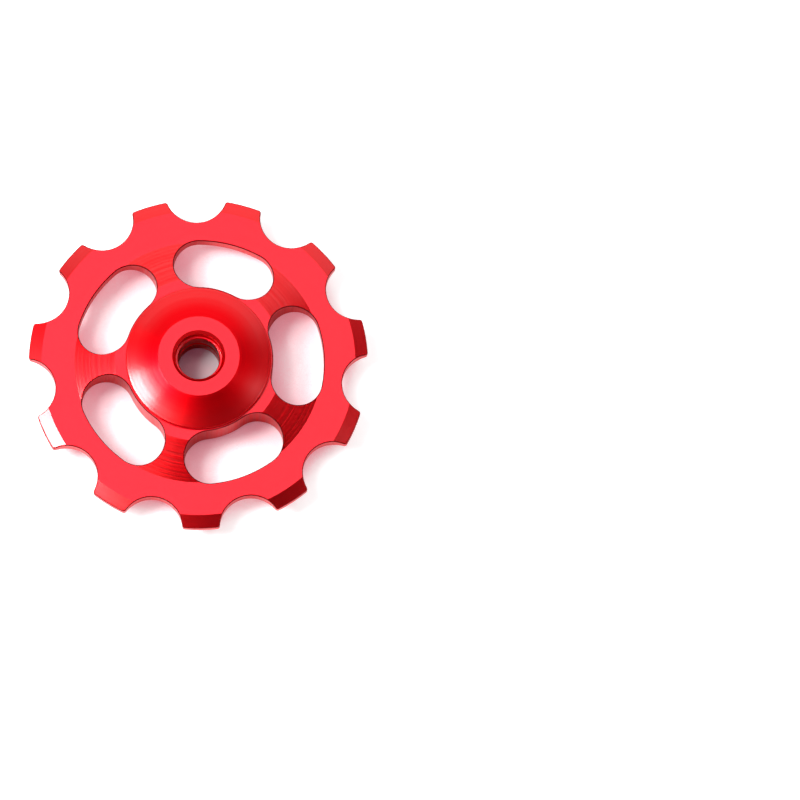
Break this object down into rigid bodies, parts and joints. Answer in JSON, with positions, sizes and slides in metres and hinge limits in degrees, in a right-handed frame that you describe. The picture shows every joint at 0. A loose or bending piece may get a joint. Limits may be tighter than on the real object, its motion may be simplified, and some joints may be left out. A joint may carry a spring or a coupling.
{
  "type": "derailleur jockey wheel",
  "caption": "Toothed aluminium pulley wheel with kidney slots in a conical web, turning on a sealed ball bearing between two conical caps.",
  "frame": {"origin": "centre of the wheel, on the bolt axis, midway between the two cap noses", "axes": "+Z along the bolt axis out of the front cap, -Y through the middle of a tooth"},
  "size_m": [0.0436, 0.0432, 0.008],
  "materials": {
    "red_wheel": "red anodised, satin, turned and milled",
    "red_cap": "red anodised, bright turned",
    "bearing_steel": "ground bearing steel",
    "ball_steel": "polished bearing steel",
    "cage_nylon": "moulded natural nylon",
    "seal_rubber": "black nitrile rubber"
  },
  "bodies": {
    "axle": {"front_cap": "red_cap", "rear_cap": "red_cap", "inner_race": "bearing_steel"},
    "wheel": {"toothed_wheel": "red_wheel", "outer_race": "bearing_steel", "front_seal": "seal_rubber", "rear_seal": "seal_rubber"},
    "cage": {"ball_cage": "cage_nylon"},
    "ball_1": {"ball_1": "ball_steel"},
    "ball_2": {"ball_2": "ball_steel"},
    "ball_3": {"ball_3": "ball_steel"},
    "ball_4": {"ball_4": "ball_steel"},
    "ball_5": {"ball_5": "ball_steel"},
    "ball_6": {"ball_6": "ball_steel"},
    "ball_7": {"ball_7": "ball_steel"},
    "ball_8": {"ball_8": "ball_steel"},
    "ball_9": {"ball_9": "ball_steel"}
  },
  "joints": [
    {"name": "wheel_spin", "type": "hinge", "parent": "axle", "child": "wheel", "pos_m": [0, 0, 0], "axis": [0, 0, 1], "continuous": true},
    {"name": "cage_orbit", "type": "hinge", "parent": "axle", "child": "cage", "pos_m": [0, 0, 0], "axis": [0, 0, 1], "continuous": true},
    {"name": "ball_1_spin", "type": "hinge", "parent": "cage", "child": "ball_1", "pos_m": [0.006, 0, 0], "axis": [0, 0, 1], "continuous": true},
    {"name": "ball_2_spin", "type": "hinge", "parent": "cage", "child": "ball_2", "pos_m": [0.0046, 0.00386, 0], "axis": [0, 0, 1], "continuous": true},
    {"name": "ball_3_spin", "type": "hinge", "parent": "cage", "child": "ball_3", "pos_m": [0.00104, 0.00591, 0], "axis": [0, 0, 1], "continuous": true},
    {"name": "ball_4_spin", "type": "hinge", "parent": "cage", "child": "ball_4", "pos_m": [-0.003, 0.0052, 0], "axis": [0, 0, 1], "continuous": true},
    {"name": "ball_5_spin", "type": "hinge", "parent": "cage", "child": "ball_5", "pos_m": [-0.00564, 0.00205, 0], "axis": [0, 0, 1], "continuous": true},
    {"name": "ball_6_spin", "type": "hinge", "parent": "cage", "child": "ball_6", "pos_m": [-0.00564, -0.00205, 0], "axis": [0, 0, 1], "continuous": true},
    {"name": "ball_7_spin", "type": "hinge", "parent": "cage", "child": "ball_7", "pos_m": [-0.003, -0.0052, 0], "axis": [0, 0, 1], "continuous": true},
    {"name": "ball_8_spin", "type": "hinge", "parent": "cage", "child": "ball_8", "pos_m": [0.00104, -0.00591, 0], "axis": [0, 0, 1], "continuous": true},
    {"name": "ball_9_spin", "type": "hinge", "parent": "cage", "child": "ball_9", "pos_m": [0.0046, -0.00386, 0], "axis": [0, 0, 1], "continuous": true}
  ],
  "couplings": [
    {"joint": "cage_orbit", "follows": "wheel_spin", "ratio": 0.59921},
    {"joint": "ball_1_spin", "follows": "wheel_spin", "ratio": 2.4207},
    {"joint": "ball_2_spin", "follows": "wheel_spin", "ratio": 2.4207},
    {"joint": "ball_3_spin", "follows": "wheel_spin", "ratio": 2.4207},
    {"joint": "ball_4_spin", "follows": "wheel_spin", "ratio": 2.4207},
    {"joint": "ball_5_spin", "follows": "wheel_spin", "ratio": 2.4207},
    {"joint": "ball_6_spin", "follows": "wheel_spin", "ratio": 2.4207},
    {"joint": "ball_7_spin", "follows": "wheel_spin", "ratio": 2.4207},
    {"joint": "ball_8_spin", "follows": "wheel_spin", "ratio": 2.4207},
    {"joint": "ball_9_spin", "follows": "wheel_spin", "ratio": 2.4207}
  ]
}
